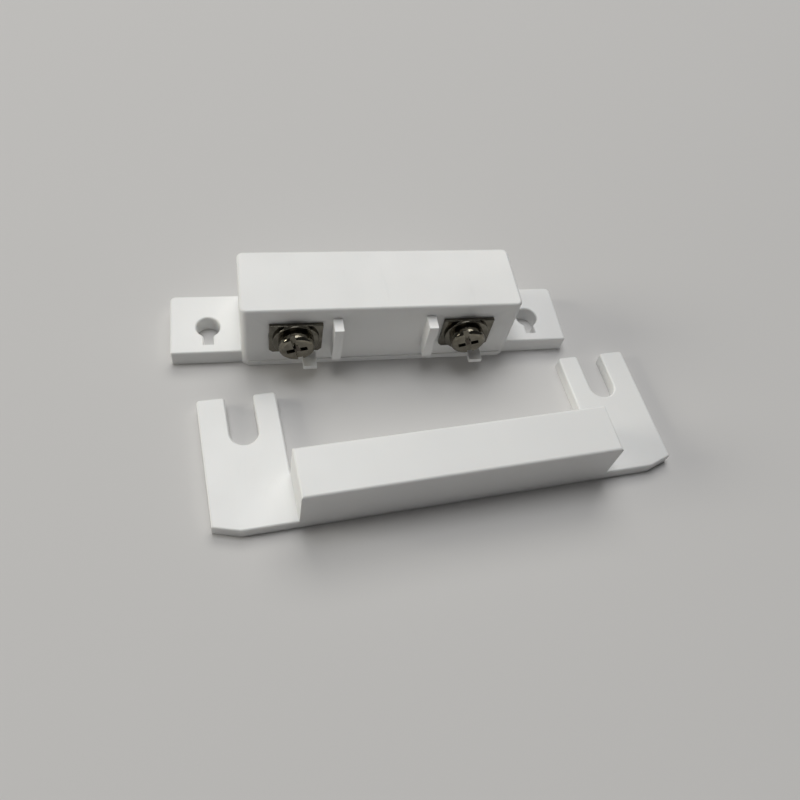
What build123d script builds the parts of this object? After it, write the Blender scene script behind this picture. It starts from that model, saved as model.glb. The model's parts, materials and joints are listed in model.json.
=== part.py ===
from build123d import *
import math
import os

os.makedirs("parts", exist_ok=True)

# ------------------------------------------------------------------
# Door contact sensor, in millimetres.
# X runs along the switch, Y points away from its terminals, Z is up.
# The origin is the middle of the switch's underside.
# ------------------------------------------------------------------

# ---- switch housing ----
SWITCH_LENGTH = 64.0
SWITCH_DEPTH = 11.7
SWITCH_HEIGHT = 12.9
BODY_LENGTH = 43.0
EAR_THICKNESS = 2.8
EAR_SETBACK = 0.55
EAR_REAR_CORNER = 0.9
EAR_FRONT_CORNER = 0.3
BODY_CORNER = 1.0
TOP_EDGE = 0.45
EAR_EDGE = 0.3
SIDE_WALL = 1.6
FRONT_WALL = 1.8
REAR_WALL = 1.4
ROOF = 1.4

KEYHOLE_SPACING = 52.6
KEYHOLE_RADIUS = 1.8
KEYHOLE_Y = -0.4
KEYHOLE_SLOT_WIDTH = 1.5
KEYHOLE_SLOT_END = -3.7
KEYHOLE_NECK_RADIUS = 0.5

RIB_X = 7.2
RIB_WIDTH = 1.4
RIB_DEPTH = 2.4
RIB_TOP = 10.8
RIB_BOTTOM = 3.7
LIP_HEIGHT = 1.0
LIP_PROUD = 0.2
TAB_WIDTH = 2.1
TAB_DEPTH = 2.7
TAB_TOP = 2.6
TAB_THICKNESS = 0.7
TAB_OFFSET = 2.2

COVER_THICKNESS = 1.0
COVER_GAP = 0.1
POST_SIZE = 1.4

# ---- terminals ----
TERMINAL_X = 13.35
TERMINAL_Z = 6.95
PLATE_WIDTH = 8.0
PLATE_HEIGHT = 6.2
PLATE_THICKNESS = 0.6
PLATE_HOLE = 1.7
PLATE_CORNER = 0.5
TAIL_THICKNESS = 0.4
TAIL_WIDTH = 1.5
TAIL_CLEARANCE = 0.05
TAIL_OVERRUN = 0.3
WASHER_RADIUS = 3.5
WASHER_HOLE = 1.6
WASHER_THICKNESS = 0.5
WASHER_EDGE = 0.12
HEAD_RADIUS = 2.7
HEAD_HEIGHT = 1.6
HEAD_DOME = 0.5
HEAD_FLAT = 2.1
SHANK_RADIUS = 1.45
SHANK_LENGTH = 5.7
SHANK_CHAMFER = 0.4
CROSS_LENGTH = 3.2
CROSS_WIDTH = 0.85
CROSS_DEPTH = 1.2
SLOT_DEPTH = 0.6
NUT_SIZE = 5.5
NUT_THICKNESS = 1.8
NUT_BORE = 1.5
NUT_CLEARANCE = 0.05
NUT_FRAME_WALL = 0.6
WALL_HOLE = 1.8

# ---- reed switch ----
REED_Y = 1.4
REED_Z = TERMINAL_Z
CAPSULE_RADIUS = 1.2
CAPSULE_BORE = 0.9
CAPSULE_LENGTH = 14.0
CAPSULE_SEAL = 1.6
LEAD_RADIUS = 0.3
BLADE_WIDTH = 1.1
BLADE_THICKNESS = 0.2
BLADE_OFFSET = 0.2
BLADE_OVERLAP = 1.2
BLADE_ROOT_GAP = 0.3
CAPSULE_END_ROUND = 0.72
SOLDER_RADIUS = 0.75
SOLDER_SINK = 0.3
CRADLE_X = 5.4
CRADLE_THICKNESS = 1.8
CRADLE_WALL = 1.0
CUSHION_RADIUS = 1.8
CUSHION_LENGTH = 2.4

# ---- magnet housing, drawn about its own origin and then turned into place ----
MAGNET_ORIGIN = (7.38, -19.51, 0.0)
MAGNET_TURN = 4.64
MAGNET_BAR_HEIGHT = 9.3
MAGNET_PLATE = 2.0
MAGNET_HALF_LENGTH = 35.2
MAGNET_BAY_HALF = 23.5
MAGNET_BAR_HALF = 23.5
TINE_TIP = 9.0
MAGNET_SLOT_X = 29.0
MAGNET_SLOT_WIDTH = 4.2
MAGNET_SLOT_END = 0.6
PLATE_FRONT = -12.6
CHAMFER_X = 3.8
CHAMFER_Y = 1.2
BAR_REAR = -4.9
BAR_FRONT = PLATE_FRONT
TINE_CORNER = 0.5
BAR_WALL = 1.25
MAGNET_LENGTH = 38.0
MAGNET_CLEARANCE = 0.1
MAGNET_HEIGHT = 5.5
PAD_INSET = 1.0
SLOT_OVERRUN = 1.0

# ---- planes worked out from the sizes above ----
TOLERANCE = 0.01
BODY_HALF = BODY_LENGTH / 2
HALF_DEPTH = SWITCH_DEPTH / 2
FRONT_FACE = -HALF_DEPTH
INNER_FRONT = FRONT_FACE + FRONT_WALL
INNER_REAR = HALF_DEPTH - REAR_WALL
INNER_HALF = BODY_HALF - SIDE_WALL
CEILING = SWITCH_HEIGHT - ROOF
COVER_TOP = COVER_THICKNESS
CAVITY_DEPTH = INNER_REAR - INNER_FRONT
CAVITY_Y = (INNER_REAR + INNER_FRONT) / 2
PLATE_FACE = FRONT_FACE - PLATE_THICKNESS
WASHER_FACE = PLATE_FACE - WASHER_THICKNESS
NUT_FRAME = NUT_SIZE / 2 + NUT_CLEARANCE + NUT_FRAME_WALL
TAIL_X = TERMINAL_X + PLATE_WIDTH / 2 - TAIL_THICKNESS / 2
CAPSULE_HALF = CAPSULE_LENGTH / 2
SEAL_INNER = CAPSULE_HALF - CAPSULE_SEAL
LEAD_END = TAIL_X - TAIL_THICKNESS / 2

magnet_plane = Plane(
    origin=MAGNET_ORIGIN,
    x_dir=(math.cos(math.radians(MAGNET_TURN)), math.sin(math.radians(MAGNET_TURN)), 0),
    z_dir=(0, 0, 1),
)
SIDES = ((-1, "left"), (1, "right"))


def front_plane(y):
    """Upright plane at depth y, seen from the terminal side; its normal points to -Y."""
    return Plane(origin=(0, y, 0), x_dir=(1, 0, 0), z_dir=(0, -1, 0))


def end_plane(x):
    """Upright plane across the length at x; its normal points to +X."""
    return Plane(origin=(x, 0, 0), x_dir=(0, 1, 0), z_dir=(1, 0, 0))


def save(builder, name):
    builder.part.label = name
    export_step(builder.part, f"parts/{name}.step")


# ------------------------------------------------------------------
# Switch housing: one moulding with two screw ears and a hollow underside
# ------------------------------------------------------------------
def on_outer_end(edge):
    return abs(abs(edge.center().X) - SWITCH_LENGTH / 2) < TOLERANCE


def on_ear_top(edge):
    centre = edge.center()
    return abs(centre.Z - EAR_THICKNESS) < TOLERANCE and abs(centre.X) > BODY_HALF + TOLERANCE


def on_body_top(edge):
    return abs(edge.center().Z - SWITCH_HEIGHT) < TOLERANCE


with BuildPart() as switch_housing:
    # outer block
    with BuildSketch(Plane.XY):
        RectangleRounded(BODY_LENGTH, SWITCH_DEPTH, BODY_CORNER)
    extrude(amount=SWITCH_HEIGHT)
    fillet(switch_housing.edges().filter_by(on_body_top), radius=TOP_EDGE)

    # screw ears, rounder at the rear corners than at the front ones
    ear_root = BODY_HALF - SIDE_WALL / 2
    ear_length = SWITCH_LENGTH / 2 - ear_root
    with BuildSketch(Plane.XY):
        for side in (-1, 1):
            with Locations((side * (ear_root + ear_length / 2), EAR_SETBACK / 2)):
                Rectangle(ear_length, SWITCH_DEPTH - EAR_SETBACK)
    extrude(amount=EAR_THICKNESS)
    corner_edges = switch_housing.edges().filter_by(Axis.Z).filter_by(on_outer_end)
    fillet(corner_edges.group_by(Axis.Y)[-1], radius=EAR_REAR_CORNER)
    corner_edges = switch_housing.edges().filter_by(Axis.Z).filter_by(on_outer_end)
    fillet(corner_edges.group_by(Axis.Y)[0], radius=EAR_FRONT_CORNER)

    # keyholes: a round hole with a narrow slot towards the terminals
    with BuildSketch(Plane.XY) as keyhole:
        slot_length = KEYHOLE_Y - KEYHOLE_SLOT_END
        slot_y = (KEYHOLE_Y + KEYHOLE_SLOT_END) / 2
        for side in (-1, 1):
            with Locations((side * KEYHOLE_SPACING / 2, KEYHOLE_Y)):
                Circle(KEYHOLE_RADIUS)
        for side in (-1, 1):
            with Locations((side * KEYHOLE_SPACING / 2, slot_y)):
                Rectangle(KEYHOLE_SLOT_WIDTH, slot_length)
        neck_y = KEYHOLE_Y - KEYHOLE_RADIUS
        neck = keyhole.vertices().filter_by_position(Axis.Y, neck_y, KEYHOLE_Y - KEYHOLE_RADIUS / 2)
        fillet(neck, radius=KEYHOLE_NECK_RADIUS)
    extrude(amount=EAR_THICKNESS, mode=Mode.SUBTRACT)

    # hollow underside
    with BuildSketch(Plane.XY):
        with Locations((0, CAVITY_Y)):
            Rectangle(2 * INNER_HALF, CAVITY_DEPTH)
    extrude(amount=CEILING, mode=Mode.SUBTRACT)

    # corner posts the base cover rests on
    with BuildSketch(Plane.XY.offset(COVER_TOP)):
        with Locations((0, CAVITY_Y)):
            with GridLocations(2 * INNER_HALF - POST_SIZE, CAVITY_DEPTH - POST_SIZE, 2, 2):
                Rectangle(POST_SIZE, POST_SIZE)
    extrude(amount=CEILING - COVER_TOP)

    # square frames inside the front wall that keep the nuts from turning
    with BuildSketch(front_plane(INNER_FRONT)):
        with Locations((-TERMINAL_X, TERMINAL_Z), (TERMINAL_X, TERMINAL_Z)):
            Rectangle(2 * NUT_FRAME, 2 * NUT_FRAME)
            Rectangle(
                NUT_SIZE + 2 * NUT_CLEARANCE,
                NUT_SIZE + 2 * NUT_CLEARANCE,
                mode=Mode.SUBTRACT,
            )
    extrude(amount=-NUT_THICKNESS)

    # cradles for the reed switch, open towards the underside
    for side in (-1, 1):
        with BuildSketch(end_plane(side * CRADLE_X - CRADLE_THICKNESS / 2)):
            with Locations((REED_Y, (REED_Z + CEILING) / 2)):
                Rectangle(2 * CUSHION_RADIUS + 2 * CRADLE_WALL, CEILING - REED_Z)
            with Locations((REED_Y, REED_Z)):
                Circle(CUSHION_RADIUS, mode=Mode.SUBTRACT)
        extrude(amount=CRADLE_THICKNESS)

    # front face details: two barrier ribs, a bottom lip and two wire tabs
    with BuildSketch(front_plane(FRONT_FACE)):
        with Locations((-RIB_X, (RIB_TOP + RIB_BOTTOM) / 2), (RIB_X, (RIB_TOP + RIB_BOTTOM) / 2)):
            Rectangle(RIB_WIDTH, RIB_TOP - RIB_BOTTOM)
    extrude(amount=RIB_DEPTH)
    with BuildSketch(front_plane(FRONT_FACE)):
        with Locations((0, LIP_HEIGHT / 2)):
            Rectangle(BODY_LENGTH - 2 * BODY_CORNER, LIP_HEIGHT)
    extrude(amount=LIP_PROUD)
    with BuildSketch(front_plane(FRONT_FACE)):
        for side in (-1, 1):
            with Locations((side * TERMINAL_X + TAB_OFFSET, TAB_TOP - TAB_THICKNESS / 2)):
                Rectangle(TAB_WIDTH, TAB_THICKNESS)
    extrude(amount=TAB_DEPTH)

    # screw holes and the slots for the terminal tails
    with BuildSketch(front_plane(FRONT_FACE)):
        with Locations((-TERMINAL_X, TERMINAL_Z), (TERMINAL_X, TERMINAL_Z)):
            Circle(WALL_HOLE)
        with Locations((-TAIL_X, TERMINAL_Z), (TAIL_X, TERMINAL_Z)):
            Rectangle(
                TAIL_THICKNESS + 2 * TAIL_CLEARANCE,
                TAIL_WIDTH + 2 * TAIL_CLEARANCE,
            )
    extrude(amount=-FRONT_WALL, mode=Mode.SUBTRACT)

    # softened top edges of the ears
    fillet(switch_housing.edges().filter_by(on_ear_top), radius=EAR_EDGE)

save(switch_housing, "switch_housing")


with BuildPart() as switch_base_cover:
    with BuildSketch(Plane.XY):
        with Locations((0, CAVITY_Y)):
            Rectangle(2 * (INNER_HALF - COVER_GAP), CAVITY_DEPTH - 2 * COVER_GAP)
    extrude(amount=COVER_THICKNESS)

save(switch_base_cover, "switch_base_cover")


# ------------------------------------------------------------------
# Terminals
# ------------------------------------------------------------------
def terminal_plate(side):
    """Stamped plate on the front face with a tail bent back through the wall."""
    centre = (side * TERMINAL_X, TERMINAL_Z)
    tail_length = REED_Y + LEAD_RADIUS + TAIL_OVERRUN - FRONT_FACE
    with BuildPart() as plate:
        with BuildSketch(front_plane(FRONT_FACE)) as outline:
            with Locations(centre):
                Rectangle(PLATE_WIDTH, PLATE_HEIGHT)
            chamfer(outline.vertices().group_by(Axis.Y)[0], length=PLATE_CORNER)
            with Locations(centre):
                Circle(PLATE_HOLE, mode=Mode.SUBTRACT)
        extrude(amount=PLATE_THICKNESS)
        with BuildSketch(front_plane(FRONT_FACE)):
            with Locations((side * TAIL_X, TERMINAL_Z)):
                Rectangle(TAIL_THICKNESS, TAIL_WIDTH)
        extrude(amount=-tail_length)
    return plate


def captive_nut(side):
    """Thin square nut held in its frame behind the front wall."""
    with BuildPart() as nut:
        with BuildSketch(front_plane(INNER_FRONT)):
            with Locations((side * TERMINAL_X, TERMINAL_Z)):
                Rectangle(NUT_SIZE, NUT_SIZE)
                Circle(NUT_BORE, mode=Mode.SUBTRACT)
        extrude(amount=-NUT_THICKNESS)
    return nut


def washer(side):
    """Round washer between the screw head and the terminal plate."""
    with BuildPart() as ring:
        with BuildSketch(front_plane(PLATE_FACE)):
            with Locations((side * TERMINAL_X, TERMINAL_Z)):
                Circle(WASHER_RADIUS)
                Circle(WASHER_HOLE, mode=Mode.SUBTRACT)
        extrude(amount=WASHER_THICKNESS)
        rim = ring.edges().filter_by(GeomType.CIRCLE).group_by(SortBy.RADIUS)[-1]
        chamfer(rim, length=WASHER_EDGE)
    return ring


def terminal_screw(side):
    """Pan-head screw along Y, with a cross recess and one slot right across."""
    x = side * TERMINAL_X
    head_face = WASHER_FACE - HEAD_HEIGHT
    shoulder = head_face + HEAD_DOME
    shank_end = WASHER_FACE + SHANK_LENGTH
    with BuildPart() as screw:
        with BuildSketch(Plane.XY.offset(TERMINAL_Z)):
            with BuildLine():
                Polyline(
                    (x, head_face),
                    (x, shank_end),
                    (x + SHANK_RADIUS - SHANK_CHAMFER, shank_end),
                    (x + SHANK_RADIUS, shank_end - SHANK_CHAMFER),
                    (x + SHANK_RADIUS, WASHER_FACE),
                    (x + HEAD_RADIUS, WASHER_FACE),
                    (x + HEAD_RADIUS, shoulder),
                )
                TangentArc(
                    (x + HEAD_FLAT, head_face),
                    (x + HEAD_RADIUS, shoulder),
                    tangent=(1, 0),
                )
                Line((x + HEAD_FLAT, head_face), (x, head_face))
            make_face()
        revolve(axis=Axis((x, 0, TERMINAL_Z), (0, 1, 0)))
        cutter_start = front_plane(head_face - HEAD_HEIGHT)
        with BuildSketch(cutter_start):
            with Locations((x, TERMINAL_Z)):
                Rectangle(CROSS_LENGTH, CROSS_WIDTH)
                Rectangle(CROSS_WIDTH, CROSS_LENGTH)
        extrude(amount=-HEAD_HEIGHT - CROSS_DEPTH, mode=Mode.SUBTRACT)
        with BuildSketch(cutter_start):
            with Locations((x, TERMINAL_Z)):
                Rectangle(3 * HEAD_RADIUS, CROSS_WIDTH)
        extrude(amount=-HEAD_HEIGHT - SLOT_DEPTH, mode=Mode.SUBTRACT)
    return screw


for side, hand in SIDES:
    save(terminal_plate(side), f"{hand}_terminal_plate")
    save(captive_nut(side), f"{hand}_captive_nut")
    save(washer(side), f"{hand}_washer")
    save(terminal_screw(side), f"{hand}_terminal_screw")


# ------------------------------------------------------------------
# Reed switch
# ------------------------------------------------------------------
with BuildPart() as reed_glass_capsule:
    with BuildSketch(end_plane(-CAPSULE_HALF)):
        with Locations((REED_Y, REED_Z)):
            Circle(CAPSULE_RADIUS)
    extrude(amount=CAPSULE_LENGTH)
    fillet(reed_glass_capsule.edges().filter_by(GeomType.CIRCLE), radius=CAPSULE_END_ROUND)
    with BuildSketch(end_plane(-CAPSULE_HALF + CAPSULE_SEAL)):
        with Locations((REED_Y, REED_Z)):
            Circle(CAPSULE_BORE)
    extrude(amount=CAPSULE_LENGTH - 2 * CAPSULE_SEAL, mode=Mode.SUBTRACT)
    with BuildSketch(end_plane(-CAPSULE_HALF)):
        with Locations((REED_Y, REED_Z)):
            Circle(LEAD_RADIUS)
    extrude(amount=CAPSULE_LENGTH, mode=Mode.SUBTRACT)

save(reed_glass_capsule, "reed_glass_capsule")


with BuildPart() as reed_fixed_blade:
    with BuildSketch(end_plane(-LEAD_END)):
        with Locations((REED_Y, REED_Z)):
            Circle(LEAD_RADIUS)
    extrude(amount=LEAD_END - SEAL_INNER + BLADE_ROOT_GAP)
    with BuildSketch(Plane.XY.offset(REED_Z - BLADE_OFFSET - BLADE_THICKNESS / 2)):
        with Locations((-SEAL_INNER + BLADE_ROOT_GAP, REED_Y)):
            blade_length = SEAL_INNER - BLADE_ROOT_GAP + BLADE_OVERLAP / 2
            Rectangle(blade_length, BLADE_WIDTH, align=(Align.MIN, Align.CENTER))
    extrude(amount=BLADE_THICKNESS)

save(reed_fixed_blade, "reed_fixed_blade")


with BuildPart() as reed_right_lead:
    with BuildSketch(end_plane(SEAL_INNER)):
        with Locations((REED_Y, REED_Z)):
            Circle(LEAD_RADIUS)
    extrude(amount=LEAD_END - SEAL_INNER)

save(reed_right_lead, "reed_right_lead")


with BuildPart() as reed_moving_blade:
    with BuildSketch(Plane.XY.offset(REED_Z + BLADE_OFFSET - BLADE_THICKNESS / 2)):
        with Locations((SEAL_INNER - BLADE_ROOT_GAP, REED_Y)):
            blade_length = SEAL_INNER - BLADE_ROOT_GAP + BLADE_OVERLAP / 2
            Rectangle(blade_length, BLADE_WIDTH, align=(Align.MAX, Align.CENTER))
    extrude(amount=BLADE_THICKNESS)

save(reed_moving_blade, "reed_moving_blade")


def solder_joint(side):
    """Small drop of solder where the lead meets the terminal tail."""
    reach = 4 * SOLDER_RADIUS
    with BuildPart() as drop:
        with Locations((side * (LEAD_END - SOLDER_SINK), REED_Y, REED_Z)):
            Sphere(SOLDER_RADIUS)
        with BuildSketch(end_plane(side * LEAD_END)):
            with Locations((REED_Y, REED_Z)):
                Rectangle(reach, reach)
        extrude(amount=side * reach, mode=Mode.SUBTRACT)
        with BuildSketch(end_plane(side * (LEAD_END - reach))):
            with Locations((REED_Y, REED_Z)):
                Circle(LEAD_RADIUS)
        extrude(amount=side * reach, mode=Mode.SUBTRACT)
    return drop


def capsule_cushion(side):
    """Rubber sleeve that holds one end of the glass capsule in its cradle."""
    with BuildPart() as sleeve:
        with BuildSketch(end_plane(side * CRADLE_X - CUSHION_LENGTH / 2)):
            with Locations((REED_Y, REED_Z)):
                Circle(CUSHION_RADIUS)
                Circle(CAPSULE_RADIUS, mode=Mode.SUBTRACT)
        extrude(amount=CUSHION_LENGTH)
    return sleeve


for side, hand in SIDES:
    save(solder_joint(side), f"{hand}_solder_joint")
    save(capsule_cushion(side), f"{hand}_capsule_cushion")


# ------------------------------------------------------------------
# Magnet half
# ------------------------------------------------------------------
BAR_DEPTH = BAR_REAR - BAR_FRONT
BAR_Y = (BAR_REAR + BAR_FRONT) / 2
POCKET_DEPTH = BAR_DEPTH - 2 * BAR_WALL
POCKET_HALF = MAGNET_BAR_HALF - BAR_WALL
MAGNET_CEILING = MAGNET_BAR_HEIGHT - BAR_WALL
MAGNET_FLOOR = MAGNET_CEILING - MAGNET_HEIGHT


def magnet_local(edge):
    """Middle of an edge in the magnet half's own axes."""
    return magnet_plane.to_local_coords(edge.center())


def on_bar_top(edge):
    return abs(edge.center().Z - MAGNET_BAR_HEIGHT) < TOLERANCE


def on_plate_top(edge):
    return abs(edge.center().Z - MAGNET_PLATE) < TOLERANCE


def on_tine_tip(edge):
    return abs(magnet_local(edge).Y - TINE_TIP) < TOLERANCE


with BuildPart() as magnet_housing:
    # two flat screw plates, each ending in a pair of tines
    with BuildSketch(magnet_plane) as plates:
        for side in (-1, 1):
            with BuildLine():
                Polyline(
                    (side * (MAGNET_BAR_HALF - BAR_WALL), PLATE_FRONT),
                    (side * (MAGNET_HALF_LENGTH - CHAMFER_X), PLATE_FRONT),
                    (side * MAGNET_HALF_LENGTH, PLATE_FRONT + CHAMFER_Y),
                    (side * MAGNET_HALF_LENGTH, TINE_TIP),
                    (side * MAGNET_BAY_HALF, TINE_TIP),
                    (side * MAGNET_BAY_HALF, BAR_REAR),
                    (side * (MAGNET_BAR_HALF - BAR_WALL), BAR_REAR),
                    close=True,
                )
            make_face()
        for side in (-1, 1):
            slot_round = MAGNET_SLOT_END + MAGNET_SLOT_WIDTH / 2
            slot_mouth = TINE_TIP + SLOT_OVERRUN
            with Locations((side * MAGNET_SLOT_X, slot_round)):
                Circle(MAGNET_SLOT_WIDTH / 2, mode=Mode.SUBTRACT)
            with Locations((side * MAGNET_SLOT_X, (slot_round + slot_mouth) / 2)):
                Rectangle(MAGNET_SLOT_WIDTH, slot_mouth - slot_round, mode=Mode.SUBTRACT)
    extrude(amount=MAGNET_PLATE)
    tip_edges = magnet_housing.edges().filter_by(Axis.Z).filter_by(on_tine_tip)
    fillet(tip_edges, radius=TINE_CORNER)
    fillet(magnet_housing.edges().filter_by(on_plate_top), radius=EAR_EDGE)

    # bar that holds the magnet
    with BuildSketch(magnet_plane):
        with Locations((0, BAR_Y)):
            Rectangle(2 * MAGNET_BAR_HALF, BAR_DEPTH)
    extrude(amount=MAGNET_BAR_HEIGHT)
    fillet(magnet_housing.edges().filter_by(on_bar_top), radius=TOP_EDGE)

    # pocket for the magnet, open at the underside
    with BuildSketch(magnet_plane):
        with Locations((0, BAR_Y)):
            Rectangle(2 * POCKET_HALF, POCKET_DEPTH)
    extrude(amount=MAGNET_CEILING, mode=Mode.SUBTRACT)

    # end blocks that locate the magnet and carry the cover
    with BuildSketch(magnet_plane.offset(COVER_TOP)):
        block = POCKET_HALF - MAGNET_LENGTH / 2 - MAGNET_CLEARANCE
        spacing = 2 * POCKET_HALF - block
        with Locations((-spacing / 2, BAR_Y), (spacing / 2, BAR_Y)):
            Rectangle(block, POCKET_DEPTH)
    extrude(amount=MAGNET_CEILING - COVER_TOP)

save(magnet_housing, "magnet_housing")


with BuildPart() as bar_magnet:
    with BuildSketch(magnet_plane.offset(MAGNET_FLOOR)):
        with Locations((0, BAR_Y)):
            Rectangle(MAGNET_LENGTH, POCKET_DEPTH - 2 * MAGNET_CLEARANCE)
    extrude(amount=MAGNET_HEIGHT)

save(bar_magnet, "bar_magnet")


with BuildPart() as magnet_pad:
    with BuildSketch(magnet_plane.offset(COVER_TOP)):
        with Locations((0, BAR_Y)):
            Rectangle(MAGNET_LENGTH - 2 * PAD_INSET, POCKET_DEPTH - 4 * MAGNET_CLEARANCE)
    extrude(amount=MAGNET_FLOOR - COVER_TOP)

save(magnet_pad, "magnet_pad")


with BuildPart() as magnet_base_cover:
    with BuildSketch(magnet_plane):
        with Locations((0, BAR_Y)):
            Rectangle(2 * (POCKET_HALF - COVER_GAP), POCKET_DEPTH - 2 * COVER_GAP)
    extrude(amount=COVER_THICKNESS)

save(magnet_base_cover, "magnet_base_cover")
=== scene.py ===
import json
import math

import bmesh
import bpy
from mathutils import Matrix, Vector


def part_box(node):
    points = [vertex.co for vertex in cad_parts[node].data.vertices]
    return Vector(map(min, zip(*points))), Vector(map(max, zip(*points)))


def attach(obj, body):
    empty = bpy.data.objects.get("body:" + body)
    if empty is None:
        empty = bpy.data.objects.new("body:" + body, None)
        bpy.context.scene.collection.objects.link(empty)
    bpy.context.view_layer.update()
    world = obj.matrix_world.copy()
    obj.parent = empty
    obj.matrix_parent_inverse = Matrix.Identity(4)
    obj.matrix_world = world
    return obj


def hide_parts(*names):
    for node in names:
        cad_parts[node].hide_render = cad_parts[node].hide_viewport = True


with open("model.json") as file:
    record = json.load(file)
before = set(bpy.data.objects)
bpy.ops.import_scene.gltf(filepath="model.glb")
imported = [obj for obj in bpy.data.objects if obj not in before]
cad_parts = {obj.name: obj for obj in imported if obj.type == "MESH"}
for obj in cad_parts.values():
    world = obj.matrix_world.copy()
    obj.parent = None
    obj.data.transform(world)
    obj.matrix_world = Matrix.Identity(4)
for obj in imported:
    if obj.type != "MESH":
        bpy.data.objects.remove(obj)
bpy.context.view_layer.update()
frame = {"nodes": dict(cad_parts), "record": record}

# ------------------------------------------------------------------
# Door contact sensor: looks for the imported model. All lengths are in metres.
# ------------------------------------------------------------------
MM = 0.001
RECORD = frame["record"]
BODIES = RECORD["behaviour"]["bodies"]
BODY_OF = {node: body for body, nodes in BODIES.items() for node in nodes}
SLOT_OF = {part["node"]: part["material_slot"] for part in RECORD["subparts"]}
HANDS = ("left", "right")
OUTWARD = Vector((0, -1, 0))
ALONG = Vector((1, 0, 0))
DOWN = Vector((0, 0, -1))

# ---- edges and small details ----
SHELL_EDGE = 0.14 * MM
COVER_EDGE = 0.10 * MM
STAMPED_EDGE = 0.09 * MM
WIRE_EDGE = 0.03 * MM
WASHER_EDGE = 0.13 * MM
CUSHION_EDGE = 0.12 * MM
HEAD_RIM = 0.10 * MM
FOAM_EDGE = 0.30 * MM
# Reach of the lightened metal edges, which are part wear and part painted highlight.
EDGE_WEAR_AND_GLINT = 0.08 * MM
SHARP_ANGLE = math.radians(35)
SMOOTH_ANGLE = math.radians(32)

# ---- proportions within a piece ----
WASHER_HOLE_SHARE = 0.46
SHANK_SHARE = 0.537
HEAD_FLAT_SHARE = 0.76
HEAD_SIDE_SHARE = 0.68
THREAD_CREST_SHARE = 0.42
BORE_SHARE = 0.75
LEAD_SHARE = 0.25
CAP_SHARE = 0.6
CUSHION_HOLE_SHARE = 2 / 3
SOLDER_LEAD_SHARE = 0.4
PIN_SPREAD = 0.72

# ---- screws, recesses and marks ----
SCREW_TURN = {"left": math.radians(106), "right": math.radians(109)}
THREAD_PITCH = 0.5 * MM
THREAD_DEPTH = 0.27 * MM
RECESS_WIDTH = 0.85 * MM
RECESS_SPAN = 3.2 * MM
RECESS_DEPTH = 1.2 * MM
SLOT_DEPTH = 0.6 * MM
RECESS_EDGE = 0.05 * MM
RECESS_SOFT_ANGLE = math.radians(50)
GLASS_SEAL = 1.6 * MM
GLASS_FILLET = 0.25 * MM
PIN_RADIUS = 1.1 * MM
PIN_DEPTH = 0.12 * MM

# ---- camera ----
CAMERA_SPOT = Vector((-22.67, -76.52, 100.44)) * MM
CAMERA_AIM = Vector((1.32, -17.04, 5.0)) * MM
CAMERA_ROLL = math.radians(15.45)
CAMERA_LENS = 34.58
CAMERA_SENSOR = 36
FLOOR_SIZE = 12.0
FLOOR_GAP = 0.01 * MM


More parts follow.
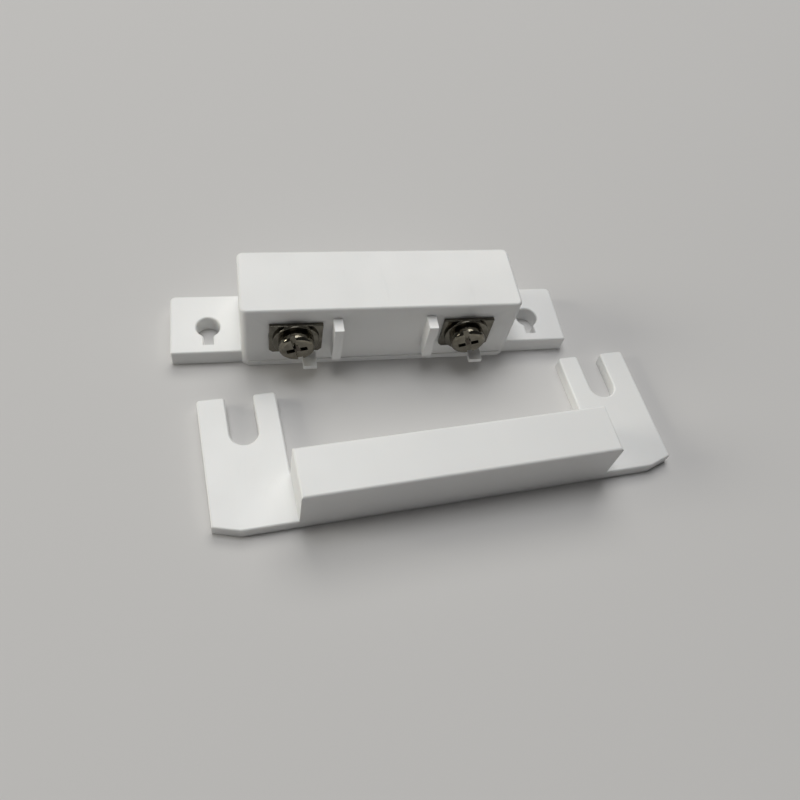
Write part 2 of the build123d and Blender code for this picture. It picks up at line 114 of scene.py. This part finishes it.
# ------------------------------------------------------------------
# Materials
# ------------------------------------------------------------------
class Finish:
    """A material being built: its nodes, with short ways to add the usual ones."""

    def __init__(self, name):
        self.material = bpy.data.materials.new(name)
        self.material.use_nodes = True
        self.tree = self.material.node_tree
        self.shader = self.tree.nodes["Principled BSDF"]
        self.place = self.add("ShaderNodeTexCoord").outputs["Object"]
        self.last_bump = None

    def add(self, kind, **inputs):
        node = self.tree.nodes.new(kind)
        for name, value in inputs.items():
            self.put(node.inputs[name.replace("_", " ")], value)
        return node

    def put(self, socket, value):
        if isinstance(value, bpy.types.NodeSocket):
            self.tree.links.new(value, socket)
        else:
            socket.default_value = value

    def set(self, **inputs):
        for name, value in inputs.items():
            self.put(self.shader.inputs[name.replace("_", " ")], value)

    def stretched(self, factors, turn=(0, 0, 0)):
        """Coordinates scaled by factors after a turn, for marks that run one way."""
        node = self.add("ShaderNodeMapping", Vector=self.place)
        node.inputs["Rotation"].default_value = turn
        node.inputs["Scale"].default_value = factors
        return node.outputs["Vector"]

    def noise(self, per_metre, detail=3.0, where=None):
        node = self.add("ShaderNodeTexNoise", Vector=where or self.place)
        node.inputs["Scale"].default_value = per_metre
        node.inputs["Detail"].default_value = detail
        return node.outputs["Fac"]

    def cells(self, per_metre):
        node = self.add("ShaderNodeTexVoronoi", Vector=self.place)
        node.inputs["Scale"].default_value = per_metre
        return node.outputs["Distance"]

    def mapped(self, source, from_low, from_high, to_low, to_high):
        node = self.add("ShaderNodeMapRange", Value=source)
        node.inputs["From Min"].default_value = from_low
        node.inputs["From Max"].default_value = from_high
        node.inputs["To Min"].default_value = to_low
        node.inputs["To Max"].default_value = to_high
        return node.outputs["Result"]

    def maths(self, operation, first, second=0.0):
        node = self.add("ShaderNodeMath")
        node.operation = operation
        self.put(node.inputs[0], first)
        self.put(node.inputs[1], second)
        return node.outputs["Value"]

    def blended(self, factor, first, second):
        """Colour that goes from first to second as factor goes from 0 to 1."""
        node = self.add("ShaderNodeMix")
        node.data_type = "RGBA"
        self.put(node.inputs["Factor"], factor)
        for socket, value in zip([s for s in node.inputs if s.type == "RGBA"], (first, second)):
            self.put(socket, value if isinstance(value, bpy.types.NodeSocket) else (*value, 1.0))
        return [s for s in node.outputs if s.type == "RGBA"][0]

    def scratches(self, per_metre, width, turn):
        """Thin long lines: 1 on a scratch, 0 elsewhere."""
        where = self.stretched((1.0, 0.06, 1.0), (0, 0, turn))
        wave = self.noise(per_metre, 1.0, where)
        distance = self.maths("ABSOLUTE", self.maths("SUBTRACT", wave, 0.5))
        return self.mapped(distance, 0.0, width, 1.0, 0.0)

    def worn_edges(self, start, end):
        """Rises with how convex the mesh is. Flat faces take some of it from the corners around them."""
        pointiness = self.add("ShaderNodeNewGeometry").outputs["Pointiness"]
        return self.mapped(pointiness, start, end, 0.0, 1.0)

    def near_edges(self, reach):
        """1 right on an edge, fading to 0 at reach from it, whatever the mesh's faces are."""
        rounded = self.add("ShaderNodeBevel", Radius=reach).outputs["Normal"]
        plain = self.add("ShaderNodeNewGeometry").outputs["Normal"]
        alike = self.add("ShaderNodeVectorMath")
        alike.operation = "DOT_PRODUCT"
        self.put(alike.inputs[0], rounded)
        self.put(alike.inputs[1], plain)
        return self.mapped(alike.outputs["Value"], 0.75, 0.98, 1.0, 0.0)

    def bump(self, height, strength, depth):
        """Adds relief on top of any relief already there."""
        node = self.add("ShaderNodeBump", Height=height)
        node.inputs["Strength"].default_value = strength
        node.inputs["Distance"].default_value = depth
        if self.last_bump:
            self.put(node.inputs["Normal"], self.last_bump)
        self.last_bump = node.outputs["Normal"]
        self.put(self.shader.inputs["Normal"], self.last_bump)


def moulded_plastic(name, light, dark, soft=0.12):
    """Satin moulded ABS: faint clouding, fine mould texture, sink waves, scuffs and edges lighter from
    wear.
    """
    finish = Finish(name)
    clouds = finish.mapped(finish.noise(55, 4), 0.35, 0.65, 0.0, 1.0)
    scuffs = finish.scratches(420, 0.003, 0.6)
    edges = finish.worn_edges(0.53, 0.62)
    body = finish.blended(clouds, light, dark)
    marked = finish.blended(finish.maths("MULTIPLY", scuffs, 0.07), body, (0.66, 0.65, 0.64))
    edge_lightened = finish.blended(finish.maths("MULTIPLY", edges, 0.5), marked, (0.90, 0.90, 0.89))
    gloss = finish.mapped(finish.noise(140, 5), 0.3, 0.7, 0.33, 0.45)
    roughness = finish.maths("ADD", gloss, finish.maths("MULTIPLY", scuffs, 0.12))
    finish.set(Base_Color=edge_lightened, Roughness=roughness)
    finish.set(IOR=1.53, Subsurface_Weight=soft, Subsurface_Scale=0.0008)
    finish.shader.inputs["Subsurface Radius"].default_value = (1.0, 0.85, 0.75)
    finish.bump(finish.noise(70, 2), 0.25, 0.12 * MM)
    finish.bump(finish.noise(5200, 3), 0.16, 0.012 * MM)
    finish.bump(scuffs, 0.05, 0.006 * MM)
    return finish.material


def plated_metal(name, light, dark, gloss, drag):
    """Plated metal: cloudy plating, drag lines from the press or the die, fine pits, edges lightened partly
    by wear and partly as a painted highlight.
    """
    finish = Finish(name)
    clouds = finish.mapped(finish.noise(900, 4), 0.3, 0.7, 0.0, 1.0)
    lines = finish.noise(2600, 2, finish.stretched((1.0, 1.0, 0.05), (0, drag, 0)))
    pits = finish.mapped(finish.cells(5200), 0.0, 0.22, 1.0, 0.0)
    edges = finish.near_edges(EDGE_WEAR_AND_GLINT)
    body = finish.blended(clouds, light, dark)
    pitted = finish.blended(finish.maths("MULTIPLY", pits, 0.25), body, (0.10, 0.09, 0.07))
    # Pale edge colour: part wear on the plating, part painted highlight standing in for glints along the
    # edges.
    edge_lightened = finish.blended(finish.maths("MULTIPLY", edges, 0.4), pitted, (0.80, 0.77, 0.70))
    roughness = finish.mapped(lines, 0.3, 0.7, gloss * 0.75, gloss * 1.35)
    finish.set(Base_Color=edge_lightened, Metallic=1.0, Roughness=roughness)
    finish.bump(lines, 0.04, 0.010 * MM)
    finish.bump(pits, 0.05, 0.008 * MM)
    return finish.material


def reed_glass(name):
    """Green-tinted lead glass with faint drawn streaks along its length."""
    finish = Finish(name)
    streaks = finish.noise(2400, 2, finish.stretched((0.05, 1.0, 1.0)))
    tint = finish.blended(streaks, (0.62, 0.88, 0.70), (0.74, 0.94, 0.80))
    roughness = finish.mapped(finish.noise(900, 3), 0.3, 0.7, 0.015, 0.05)
    finish.set(Base_Color=tint, Roughness=roughness, Transmission_Weight=1.0, IOR=1.50)
    finish.bump(streaks, 0.08, 0.01 * MM)
    return finish.material


def grained_rubber(name, light, dark, grain):
    """Matt rubber or foam: grain of its own size, dusty high places."""
    finish = Finish(name)
    pores = finish.mapped(finish.cells(grain), 0.0, 0.6, 0.0, 1.0)
    dust = finish.mapped(finish.noise(300, 5), 0.45, 0.75, 0.0, 0.6)
    body = finish.blended(pores, dark, light)
    dusty = finish.blended(dust, body, tuple(min(1.0, 1.6 * c + 0.03) for c in light))
    finish.set(Base_Color=dusty, Roughness=finish.mapped(pores, 0.0, 1.0, 0.72, 0.92))
    finish.bump(pores, 0.5, 0.06 * MM)
    return finish.material


def sintered_ferrite(name):
    """Black ceramic magnet: dull ground faces, grey grinding lines, chipped corners."""
    finish = Finish(name)
    grains = finish.noise(3800, 4)
    ground = finish.noise(1800, 2, finish.stretched((0.05, 1.0, 1.0)))
    chips = finish.worn_edges(0.52, 0.60)
    body = finish.blended(grains, (0.018, 0.018, 0.020), (0.060, 0.058, 0.060))
    lined = finish.blended(finish.mapped(ground, 0.45, 0.7, 0.0, 0.4), body, (0.11, 0.11, 0.115))
    chipped = finish.blended(finish.maths("MULTIPLY", chips, 0.5), lined, (0.16, 0.155, 0.15))
    finish.set(Base_Color=chipped, Roughness=finish.mapped(grains, 0.3, 0.7, 0.5, 0.75), Metallic=0.15)
    finish.bump(grains, 0.35, 0.03 * MM)
    finish.bump(ground, 0.12, 0.015 * MM)
    return finish.material


def floor_paint(name):
    """Plain pale matt surface."""
    finish = Finish(name)
    clouds = finish.noise(6, 3)
    finish.set(Base_Color=finish.blended(clouds, (0.62, 0.612, 0.605), (0.65, 0.642, 0.635)))
    finish.set(Roughness=finish.mapped(clouds, 0.3, 0.7, 0.75, 0.85))
    finish.bump(finish.noise(900, 4), 0.05, 0.05 * MM)
    return finish.material


MATERIALS = {
    "white_plastic": moulded_plastic("white_plastic", (0.855, 0.860, 0.850), (0.825, 0.828, 0.822)),
    "cover_plastic": moulded_plastic("cover_plastic", (0.800, 0.800, 0.790), (0.760, 0.760, 0.752)),
    # nickel_plate and screw_metal get a dark base as painted shade: the dark tone stands in for dark
    # surroundings in their reflections, below plain nickel's own tone.
    "nickel_plate": plated_metal("nickel_plate", (0.19, 0.178, 0.148), (0.12, 0.112, 0.092), 0.13, 0.3),
    "screw_metal": plated_metal("screw_metal", (0.24, 0.222, 0.18), (0.15, 0.138, 0.108), 0.11, 1.1),
    "nut_brass": plated_metal("nut_brass", (0.76, 0.60, 0.30), (0.58, 0.43, 0.20), 0.28, 0.0),
    "reed_alloy": plated_metal("reed_alloy", (0.64, 0.63, 0.60), (0.50, 0.49, 0.47), 0.22, 1.57),
    "solder": plated_metal("solder", (0.70, 0.70, 0.69), (0.54, 0.54, 0.55), 0.30, 0.8),
    "reed_glass": reed_glass("reed_glass"),
    "cushion_rubber": grained_rubber("cushion_rubber", (0.055, 0.055, 0.058), (0.025, 0.025, 0.027), 4200),
    "foam_pad": grained_rubber("foam_pad", (0.20, 0.20, 0.205), (0.07, 0.07, 0.075), 1900),
    "magnet_ferrite": sintered_ferrite("magnet_ferrite"),
}


# ------------------------------------------------------------------
# Mesh tools
# ------------------------------------------------------------------
def shade(mesh):
    """Smooth shading with the hard corners kept."""
    for polygon in mesh.polygons:
        polygon.use_smooth = True
    mesh.set_sharp_from_angle(angle=SMOOTH_ANGLE)


def make_object(bm, name):
    mesh = bpy.data.meshes.new(name)
    bmesh.ops.recalc_face_normals(bm, faces=bm.faces)
    bm.to_mesh(mesh)
    bm.free()
    thing = bpy.data.objects.new(name, mesh)
    bpy.context.scene.collection.objects.link(thing)
    return thing


def finish_piece(thing, node):
    """Gives thing the node's material, body and slot, makes it stand for the node, and returns it."""
    shade(thing.data)
    weighted = thing.modifiers.new("even_shading", "WEIGHTED_NORMAL")
    weighted.keep_sharp = True
    thing.data.materials.clear()
    thing.data.materials.append(MATERIALS[SLOT_OF[node]])
    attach(thing, BODY_OF[node])
    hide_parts(node)
    return thing


def round_sharp_edges(bm, width, segments):
    sharp = [e for e in bm.edges if len(e.link_faces) == 2 and e.calc_face_angle() > SHARP_ANGLE]
    bmesh.ops.bevel(
        bm,
        geom=sharp,
        offset=width,
        offset_type="OFFSET",
        segments=segments,
        profile=0.5,
        affect="EDGES",
        clamp_overlap=True,
    )


def node_mesh(node):
    """The CAD node's own shape as a clean editable mesh."""
    bm = bmesh.new()
    bm.from_mesh(frame["nodes"][node].data)
    bmesh.ops.remove_doubles(bm, verts=bm.verts, dist=0.002 * MM)
    bmesh.ops.dissolve_limit(bm, angle_limit=math.radians(1), verts=bm.verts, edges=bm.edges)
    return bm


def softened(node, name, width, segments=3):
    """The CAD node's shape with every sharp edge rounded."""
    bm = node_mesh(node)
    round_sharp_edges(bm, width, segments)
    return make_object(bm, name)


def axis_frame(origin, direction):
    """Matrix whose Z axis is direction and whose origin is origin."""
    return Matrix.Translation(origin) @ direction.to_track_quat("Z", "Y").to_matrix().to_4x4()


def turned(profile, place, closed=False, segments=96):
    """Turns (distance along the axis, radius) pairs about the Z axis of place. A radius may be a function
    of the angle. A closed profile makes a ring, and an open one a solid with a flat face at each end."""
    bm = bmesh.new()
    rings = []
    for along, radius in profile:
        ring = []
        for i in range(segments):
            angle = 2 * math.pi * i / segments
            r = radius(angle) if callable(radius) else radius
            ring.append(bm.verts.new(place @ Vector((r * math.cos(angle), r * math.sin(angle), along))))
        rings.append(ring)
    pairs = list(zip(rings, rings[1:]))
    if closed:
        pairs.append((rings[-1], rings[0]))
    for lower, upper in pairs:
        for i in range(segments):
            j = (i + 1) % segments
            bm.faces.new((lower[i], lower[j], upper[j], upper[i]))
    if not closed:
        bm.faces.new(rings[0])
        bm.faces.new(rings[-1])
    return bm


def carved(thing, cutters):
    """Cuts every cutter out of thing and removes the cutters."""
    for cutter in cutters:
        cut = thing.modifiers.new("cut", "BOOLEAN")
        cut.object = cutter
        cut.operation = "DIFFERENCE"
        cut.solver = "EXACT"
    bpy.context.view_layer.update()
    evaluated = thing.evaluated_get(bpy.context.evaluated_depsgraph_get())
    mesh = bpy.data.meshes.new_from_object(evaluated)
    thing.modifiers.clear()
    thing.data = mesh
    for cutter in cutters:
        bpy.data.objects.remove(cutter)
    return thing


def tapered_block(top, bottom, depth, place, name):
    """Block along -Z of place, standing proud of its mouth. top is (length, width) at the mouth, and bottom
    is the same at depth."""
    bm = bmesh.new()
    levels = ((depth, top), (0, top), (-depth, bottom))
    rings = []
    for z, (length, width) in levels:
        corners = [(sx * length / 2, sy * width / 2, z) for sx, sy in ((-1, -1), (1, -1), (1, 1), (-1, 1))]
        rings.append([bm.verts.new(place @ Vector(corner)) for corner in corners])
    for lower, upper in zip(rings, rings[1:]):
        for i in range(4):
            bm.faces.new((lower[i], lower[(i + 1) % 4], upper[(i + 1) % 4], upper[i]))
    bm.faces.new(rings[0])
    bm.faces.new(rings[-1])
    return make_object(bm, name)


def arc(centre, radius, start, end, steps):
    """Points (along, radius) round an arc; angles in degrees from the axis direction."""
    points = []
    for i in range(steps + 1):
        angle = math.radians(start + (end - start) * i / steps)
        points.append((centre[0] + radius * math.cos(angle), centre[1] + radius * math.sin(angle)))
    return points


# ------------------------------------------------------------------
# Housings and covers
# ------------------------------------------------------------------
def pin_marks(spots, direction, name):
    """Shallow round marks of the ejector pins, as cutters."""
    cutters = []
    for i, spot in enumerate(spots):
        profile = [(-PIN_DEPTH, PIN_RADIUS), (PIN_DEPTH, PIN_RADIUS)]
        pin = turned(profile, axis_frame(spot, direction), segments=40)
        cutters.append(make_object(pin, f"{name}_{i}"))
    return cutters


def build_switch_mouldings():
    shell = softened("switch_housing", "switch_shell", SHELL_EDGE)
    finish_piece(shell, "switch_housing")

    cover = softened("switch_base_cover", "switch_cover", COVER_EDGE)
    low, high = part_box("switch_base_cover")
    middle = (low.y + high.y) / 2
    spots = [Vector((x, middle, low.z)) for x in (PIN_SPREAD * low.x, 0, PIN_SPREAD * high.x)]
    carved(cover, pin_marks(spots, DOWN, "switch_pin"))
    finish_piece(cover, "switch_base_cover")


def build_magnet_mouldings():
    shell = softened("magnet_housing", "magnet_shell", SHELL_EDGE)
    finish_piece(shell, "magnet_housing")

    cover = softened("magnet_base_cover", "magnet_cover", COVER_EDGE)
    low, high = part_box("magnet_base_cover")
    middle = (low + high) / 2
    along = (Vector((high.x, high.y, 0)) - Vector((low.x, low.y, 0))) * PIN_SPREAD / 2
    spots = [Vector((middle.x, middle.y, low.z)) + along * side for side in (-1, 0, 1)]
    carved(cover, pin_marks(spots, DOWN, "magnet_pin"))
    finish_piece(cover, "magnet_base_cover")

    finish_piece(softened("bar_magnet", "ferrite_bar", STAMPED_EDGE, 2), "bar_magnet")
    foam = finish_piece(softened("magnet_pad", "foam_strip", FOAM_EDGE, 4), "magnet_pad")


# ------------------------------------------------------------------
# Terminals
# ------------------------------------------------------------------
def node_centre(node):
    low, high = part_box(node)
    return (low + high) / 2


def build_washer(hand):
    node = f"{hand}_washer"
    low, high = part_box(node)
    centre = node_centre(node)
    outer = (high.x - low.x) / 2
    inner = outer * WASHER_HOLE_SHARE
    thick = high.y - low.y
    edge = WASHER_EDGE
    place = axis_frame(Vector((centre.x, high.y, centre.z)), OUTWARD)
    profile = [(0, inner), (0, outer - edge * 0.5), (edge * 0.5, outer)]
    profile += arc((thick - edge, outer - edge), edge, 90, 0, 6)
    profile += [(thick, inner + edge), (thick - edge, inner)]
    ring = turned(profile, place, closed=True, segments=128)
    finish_piece(make_object(ring, f"{hand}_round_washer"), node)


def screw_profile(shank, head, shank_radius, head_radius):
    """Threaded shank from its tip to the head's underside, then the pan head."""
    def thread(along):
        def radius(angle):
            phase = (along / THREAD_PITCH - angle / (2 * math.pi)) % 1.0
            ridge = max(0.0, 1.0 - abs(phase - 0.5) / THREAD_CREST_SHARE)
            run_in = min(1.0, (along + shank) / (1.2 * THREAD_PITCH))
            return shank_radius - THREAD_DEPTH * (1.0 - ridge * run_in)
        return radius

    step = THREAD_PITCH / 10
    rings = int(shank / step) - 6
    profile = [(-shank, shank_radius - 1.8 * THREAD_DEPTH)]
    profile += [(-shank + step * (i + 1), thread(-shank + step * (i + 1))) for i in range(rings)]
    profile += [(-4 * step, shank_radius - THREAD_DEPTH), (0, shank_radius - THREAD_DEPTH)]
    profile += [(0, head_radius - HEAD_RIM), (HEAD_RIM, head_radius)]
    flat = HEAD_FLAT_SHARE * head_radius
    side = HEAD_SIDE_SHARE * head
    for i in range(15):
        angle = math.radians(90) * i / 14
        along = side + (head - side) * math.sin(angle)
        profile.append((along, flat + (head_radius - flat) * math.cos(angle)))
    profile += [(head, 0.2 * head_radius)]
    return profile


def build_screw(hand):
    node = f"{hand}_terminal_screw"
    low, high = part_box(node)
    washer_low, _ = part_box(f"{hand}_washer")
    centre = node_centre(node)
    seat = washer_low.y
    head = seat - low.y
    shank = high.y - seat
    head_radius = (high.x - low.x) / 2
    place = axis_frame(Vector((centre.x, seat, centre.z)), OUTWARD)
    profile = screw_profile(shank, head, SHANK_SHARE * head_radius, head_radius)
    screw = make_object(turned(profile, place, segments=96), f"{hand}_pan_screw")

    mouth = place @ Matrix.Translation((0, 0, head)) @ Matrix.Rotation(SCREW_TURN[hand], 4, "Z")
    crossed = mouth @ Matrix.Rotation(math.radians(90), 4, "Z")
    mouth_size = (RECESS_SPAN, RECESS_WIDTH)
    floor_size = (0.4 * RECESS_SPAN, 0.55 * RECESS_WIDTH)
    across = (2.6 * head_radius, RECESS_WIDTH)
    cutters = [
        tapered_block(mouth_size, floor_size, RECESS_DEPTH, mouth, "wing_one"),
        tapered_block(mouth_size, floor_size, RECESS_DEPTH, crossed, "wing_two"),
        tapered_block(across, across, SLOT_DEPTH, mouth, "driver_slot"),
    ]
    carved(screw, cutters)
    finish_piece(screw, node)
    soften = screw.modifiers.new("burnished_edges", "BEVEL")
    soften.width = RECESS_EDGE
    soften.segments = 2
    soften.limit_method = "ANGLE"
    soften.angle_limit = RECESS_SOFT_ANGLE
    soften.use_clamp_overlap = True
    # The edges are rounded before the normals are weighted.
    screw.modifiers.move(1, 0)


def build_terminals():
    for hand in HANDS:
        plate = f"{hand}_terminal_plate"
        finish_piece(softened(plate, f"{hand}_stamped_plate", STAMPED_EDGE), plate)
        nut = f"{hand}_captive_nut"
        finish_piece(softened(nut, f"{hand}_square_nut", STAMPED_EDGE), nut)
        build_washer(hand)
        build_screw(hand)


# ------------------------------------------------------------------
# Reed switch
# ------------------------------------------------------------------
def build_capsule():
    node = "reed_glass_capsule"
    low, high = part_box(node)
    radius = (high.z - low.z) / 2
    half = (high.x - low.x) / 2
    bore = BORE_SHARE * radius
    lead = LEAD_SHARE * radius
    seal = half - GLASS_SEAL
    fillet = GLASS_FILLET
    cap = CAP_SHARE * radius
    place = axis_frame(node_centre(node), ALONG)
    profile = [(-half, lead)] + arc((-half + cap, radius - cap), cap, 180, 90, 10)
    profile += arc((half - cap, radius - cap), cap, 90, 0, 10) + [(half, lead)]
    profile += [(seal, lead), (seal - 0.4 * fillet, 0.85 * bore), (seal - fillet, bore)]
    profile += [(-seal + fillet, bore), (-seal + 0.4 * fillet, 0.85 * bore), (-seal, lead)]
    tube = turned(profile, place, closed=True, segments=64)
    finish_piece(make_object(tube, "glass_tube"), node)


def build_cushion(hand):
    node = f"{hand}_capsule_cushion"
    low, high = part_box(node)
    outer = (high.z - low.z) / 2
    inner = outer * CUSHION_HOLE_SHARE
    length = high.x - low.x
    edge = CUSHION_EDGE
    place = axis_frame(Vector((low.x, *node_centre(node).yz)), ALONG)
    profile = [(0, inner), (0, outer - edge), (edge, outer)]
    for i in range(1, 4):
        groove = length * i / 4
        profile += [(groove - 1.2 * edge, outer), (groove, outer - edge), (groove + 1.2 * edge, outer)]
    profile += [(length - edge, outer), (length, outer - edge), (length, inner)]
    sleeve = turned(profile, place, closed=True, segments=64)
    finish_piece(make_object(sleeve, f"{hand}_ribbed_sleeve"), node)


def build_solder(hand):
    """Meniscus of solder: wide on the tail, thinning along the lead."""
    node = f"{hand}_solder_joint"
    low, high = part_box(node)
    reach = high.x - low.x
    base = (high.z - low.z) / 2
    lead = SOLDER_LEAD_SHARE * base
    outward = ALONG if hand == "right" else -ALONG
    root = Vector((high.x if hand == "right" else low.x, *node_centre(node).yz))
    place = axis_frame(root, -outward)
    steps = 10
    profile = [(0, lead)]
    for i in range(steps + 1):
        t = i / steps
        profile.append((reach * t, lead + (base - lead) * (1 - t) ** 1.6 + 0.02 * MM))
    profile.append((reach, lead))
    cone = turned(profile, place, closed=True, segments=48)
    finish_piece(make_object(cone, f"{hand}_solder_cone"), node)


def build_reed():
    build_capsule()
    for hand in HANDS:
        build_cushion(hand)
        build_solder(hand)
    wires = {
        "reed_fixed_blade": "fixed_reed",
        "reed_right_lead": "right_reed_lead",
        "reed_moving_blade": "moving_reed",
    }
    for node, name in wires.items():
        finish_piece(softened(node, name, WIRE_EDGE, 2), node)


# ------------------------------------------------------------------
# Stage
# ------------------------------------------------------------------
def build_floor():
    bm = bmesh.new()
    bmesh.ops.create_grid(bm, x_segments=1, y_segments=1, size=FLOOR_SIZE / 2)
    floor = make_object(bm, "pale_floor")
    floor.location.z = -FLOOR_GAP
    floor.data.materials.append(floor_paint("floor_paint"))


def add_light(name, spot, aim, size, watts, colour):
    lamp = bpy.data.lights.new(name, "AREA")
    lamp.shape = "RECTANGLE"
    lamp.size, lamp.size_y = size
    lamp.energy = watts
    lamp.color = colour
    holder = bpy.data.objects.new(name, lamp)
    holder.location = spot
    holder.rotation_euler = (Vector(aim) - Vector(spot)).to_track_quat("-Z", "Y").to_euler()
    bpy.context.scene.collection.objects.link(holder)


def build_lights():
    centre = (0.004, -0.012, 0.0)
    add_light("window", (0.16, 1.04, 1.20), centre, (1.20, 0.64), 8.2, (1.0, 0.985, 0.95))
    add_light("overhead", (-0.16, 0.36, 1.52), centre, (0.80, 0.72), 9.8, (0.98, 0.99, 1.0))
    add_light("side", (-1.32, 0.10, 0.50), centre, (0.56, 0.40), 6.8, (1.0, 0.97, 0.87))
    add_light("fill", (-0.50, -1.40, 1.10), centre, (0.8, 0.8), 0.4, (1.0, 0.90, 0.93))
    world = bpy.data.worlds.new("studio")
    world.use_nodes = True
    world.node_tree.nodes["Background"].inputs["Color"].default_value = (0.93, 0.94, 0.96, 1)
    world.node_tree.nodes["Background"].inputs["Strength"].default_value = 0.05
    bpy.context.scene.world = world
    bpy.context.scene.view_settings.view_transform = "Standard"


def build_camera():
    lens = bpy.data.cameras.new("view")
    lens.lens = CAMERA_LENS
    lens.sensor_width = CAMERA_SENSOR
    lens.clip_start = 0.005
    camera = bpy.data.objects.new("view", lens)
    bpy.context.scene.collection.objects.link(camera)
    level = (CAMERA_AIM - CAMERA_SPOT).to_track_quat("-Z", "Y").to_matrix().to_4x4()
    camera.matrix_world = Matrix.Translation(CAMERA_SPOT) @ level @ Matrix.Rotation(CAMERA_ROLL, 4, "Z")
    bpy.context.scene.camera = camera


build_switch_mouldings()
build_magnet_mouldings()
build_terminals()
build_reed()
build_floor()
build_lights()
build_camera()
